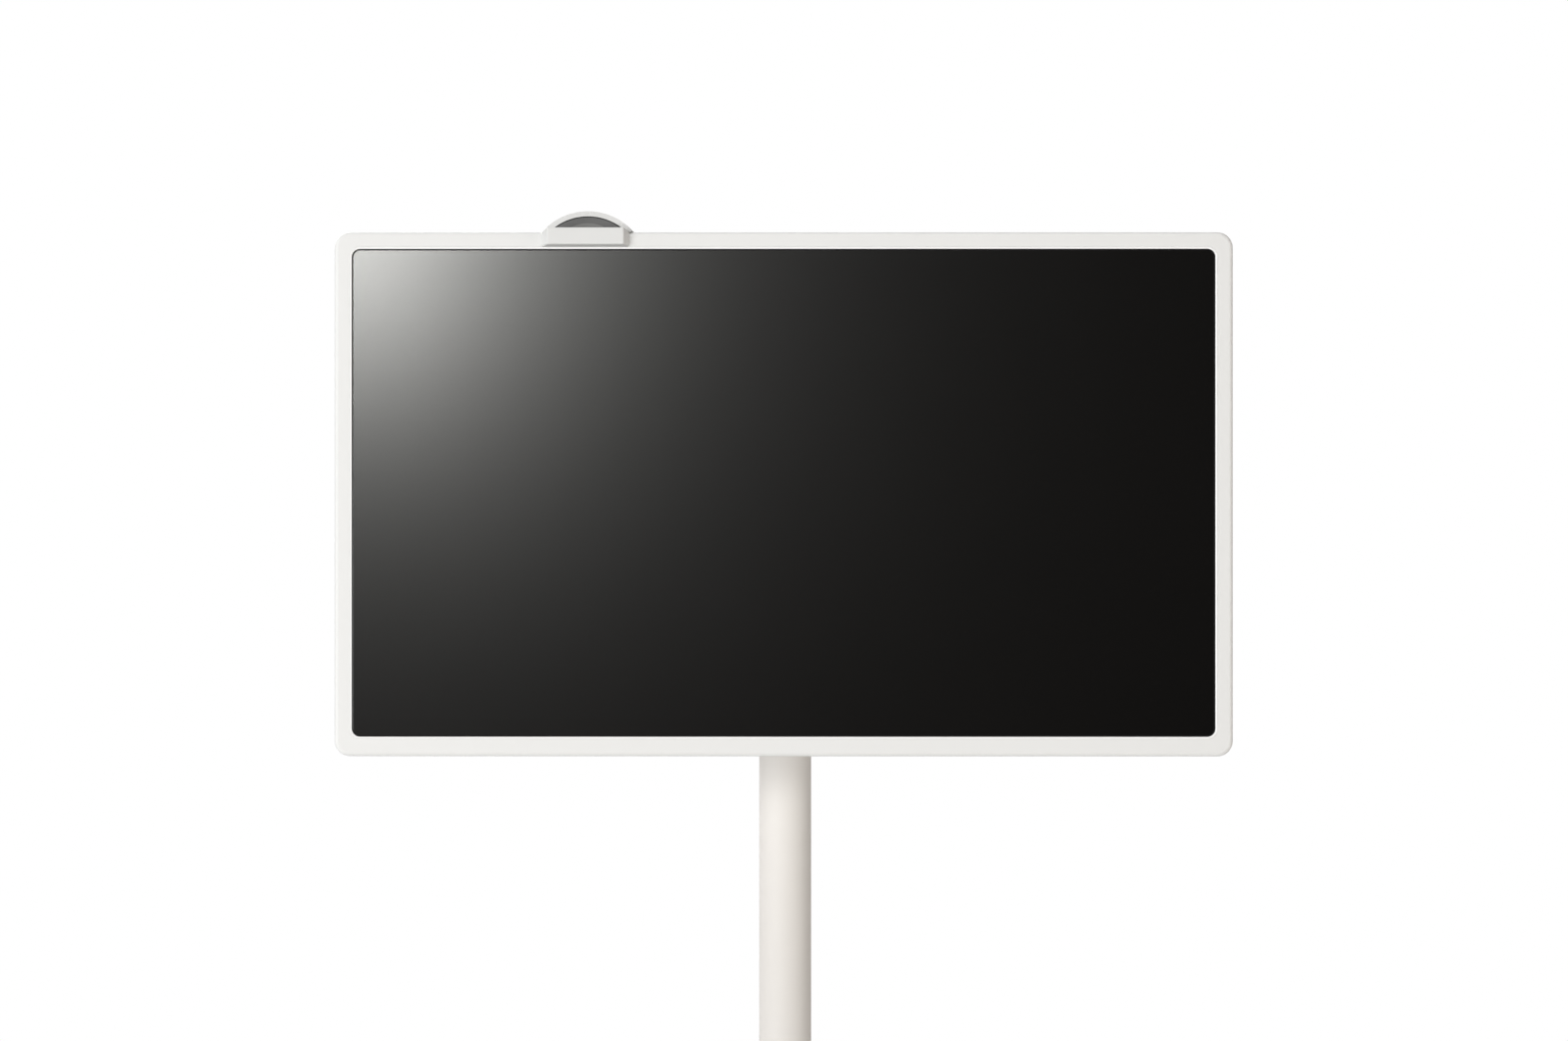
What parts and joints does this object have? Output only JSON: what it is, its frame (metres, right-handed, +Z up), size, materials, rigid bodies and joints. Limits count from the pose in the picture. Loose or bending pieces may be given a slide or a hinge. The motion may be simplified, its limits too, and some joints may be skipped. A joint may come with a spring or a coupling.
{
  "type": "smart display on a rolling stand",
  "caption": "Slim touch display in a white frame on a height-adjustable pole, with tilt, swivel and portrait pivot, a phone holder on its top edge and a round base on casters.",
  "frame": {"origin": "on the floor at the middle of the round base", "axes": "+Z up, the screen faces -Y, +X to the viewer's right"},
  "size_m": [0.703, 0.4, 1.0817],
  "materials": {
    "frame_white": "satin",
    "cover_white": "matte",
    "pole_paint": "satin",
    "glass_black": "gloss",
    "panel_glass": "satin",
    "panel_grey": "satin",
    "steel": "satin",
    "aluminium": "satin",
    "nylon_grey": "matte",
    "rubber_grey": "matte",
    "board_green": "satin",
    "black_plastic": "matte",
    "battery_blue": "satin"
  },
  "bodies": {
    "stand": {"base_cover": "cover_white", "ballast_plate": "steel", "pole_flange": "steel", "pole_bolt": "steel", "pole_foot_ring": "cover_white", "pole_tube": "pole_paint", "pole_collar": "nylon_grey", "gas_spring_cylinder": "steel", "battery_pack": "battery_blue", "charger_board": "board_green", "power_inlet": "black_plastic"},
    "column": {"inner_column": "aluminium", "column_guide": "nylon_grey", "gas_spring_rod": "steel", "column_head": "aluminium", "swivel_nut": "steel"},
    "head": {"swivel_arm": "aluminium", "swivel_cap": "cover_white"},
    "tilt_frame": {"tilt_bracket": "aluminium", "tilt_axle": "steel", "friction_washer_left": "steel", "friction_washer_right": "steel", "bracket_cover": "cover_white"},
    "display": {"pivot_hub": "aluminium", "pivot_nut": "steel", "mount_cup": "steel", "front_bezel": "frame_white", "cover_glass": "glass_black", "lcd_panel": "panel_glass", "backlight_unit": "panel_grey", "middle_frame": "black_plastic", "chassis_plate": "aluminium", "rear_cover": "cover_white", "main_board": "board_green", "driver_board": "board_green", "port_block": "black_plastic", "speaker_left": "black_plastic", "speaker_right": "black_plastic"},
    "power_key": {"power_button": "cover_white"},
    "volume_up_key": {"volume_up_button": "cover_white"},
    "volume_down_key": {"volume_down_button": "cover_white"},
    "phone_holder": {"holder_clip": "frame_white", "holder_lip": "frame_white", "holder_pad": "rubber_grey", "holder_liner": "rubber_grey"},
    "caster_1": {"caster_fork_1": "steel", "caster_axle_1": "steel"},
    "wheel_1": {"caster_wheel_1": "rubber_grey"},
    "caster_2": {"caster_fork_2": "steel", "caster_axle_2": "steel"},
    "wheel_2": {"caster_wheel_2": "rubber_grey"},
    "caster_3": {"caster_fork_3": "steel", "caster_axle_3": "steel"},
    "wheel_3": {"caster_wheel_3": "rubber_grey"},
    "caster_4": {"caster_fork_4": "steel", "caster_axle_4": "steel"},
    "wheel_4": {"caster_wheel_4": "rubber_grey"},
    "caster_5": {"caster_fork_5": "steel", "caster_axle_5": "steel"},
    "wheel_5": {"caster_wheel_5": "rubber_grey"}
  },
  "joints": [
    {"name": "height_slide", "type": "slide", "parent": "stand", "child": "column", "axis": [0, 0, 1], "range_m": [0, 0.2]},
    {"name": "head_swivel", "type": "hinge", "parent": "column", "child": "head", "pos_m": [0, 0.1, 0.86], "axis": [0, 0, 1], "range_deg": [-65, 65]},
    {"name": "display_tilt", "type": "hinge", "parent": "head", "child": "tilt_frame", "pos_m": [0, 0.01, 0.86], "axis": [1, 0, 0], "range_deg": [-25, 25]},
    {"name": "display_pivot", "type": "hinge", "parent": "tilt_frame", "child": "display", "pos_m": [0, -0.08, 0.86], "axis": [0, 1, 0], "range_deg": [-90, 90]},
    {"name": "power_press", "type": "slide", "parent": "display", "child": "power_key", "axis": [0, -1, 0], "range_m": [0, 0.001], "stiffness_N_per_m": 600, "springref_m": -0.0015},
    {"name": "volume_up_press", "type": "slide", "parent": "display", "child": "volume_up_key", "axis": [0, -1, 0], "range_m": [0, 0.001], "stiffness_N_per_m": 600, "springref_m": -0.0015},
    {"name": "volume_down_press", "type": "slide", "parent": "display", "child": "volume_down_key", "axis": [0, -1, 0], "range_m": [0, 0.001], "stiffness_N_per_m": 600, "springref_m": -0.0015},
    {"name": "holder_lift", "type": "slide", "parent": "display", "child": "phone_holder", "axis": [0, 0, 1], "range_m": [0, 0.06]},
    {"name": "caster_swivel_1", "type": "hinge", "parent": "stand", "child": "caster_1", "pos_m": [0, -0.16, 0.032], "axis": [0, 0, 1], "continuous": true},
    {"name": "wheel_roll_1", "type": "hinge", "parent": "caster_1", "child": "wheel_1", "pos_m": [0, -0.152, 0.0135], "axis": [1, 0, 0], "continuous": true},
    {"name": "caster_swivel_2", "type": "hinge", "parent": "stand", "child": "caster_2", "pos_m": [0.15217, -0.04944, 0.032], "axis": [0, 0, 1], "continuous": true},
    {"name": "wheel_roll_2", "type": "hinge", "parent": "caster_2", "child": "wheel_2", "pos_m": [0.15217, -0.04144, 0.0135], "axis": [1, 0, 0], "continuous": true},
    {"name": "caster_swivel_3", "type": "hinge", "parent": "stand", "child": "caster_3", "pos_m": [0.09405, 0.12944, 0.032], "axis": [0, 0, 1], "continuous": true},
    {"name": "wheel_roll_3", "type": "hinge", "parent": "caster_3", "child": "wheel_3", "pos_m": [0.09405, 0.13744, 0.0135], "axis": [1, 0, 0], "continuous": true},
    {"name": "caster_swivel_4", "type": "hinge", "parent": "stand", "child": "caster_4", "pos_m": [-0.09405, 0.12944, 0.032], "axis": [0, 0, 1], "continuous": true},
    {"name": "wheel_roll_4", "type": "hinge", "parent": "caster_4", "child": "wheel_4", "pos_m": [-0.09405, 0.13744, 0.0135], "axis": [1, 0, 0], "continuous": true},
    {"name": "caster_swivel_5", "type": "hinge", "parent": "stand", "child": "caster_5", "pos_m": [-0.15217, -0.04944, 0.032], "axis": [0, 0, 1], "continuous": true},
    {"name": "wheel_roll_5", "type": "hinge", "parent": "caster_5", "child": "wheel_5", "pos_m": [-0.15217, -0.04144, 0.0135], "axis": [1, 0, 0], "continuous": true}
  ]
}
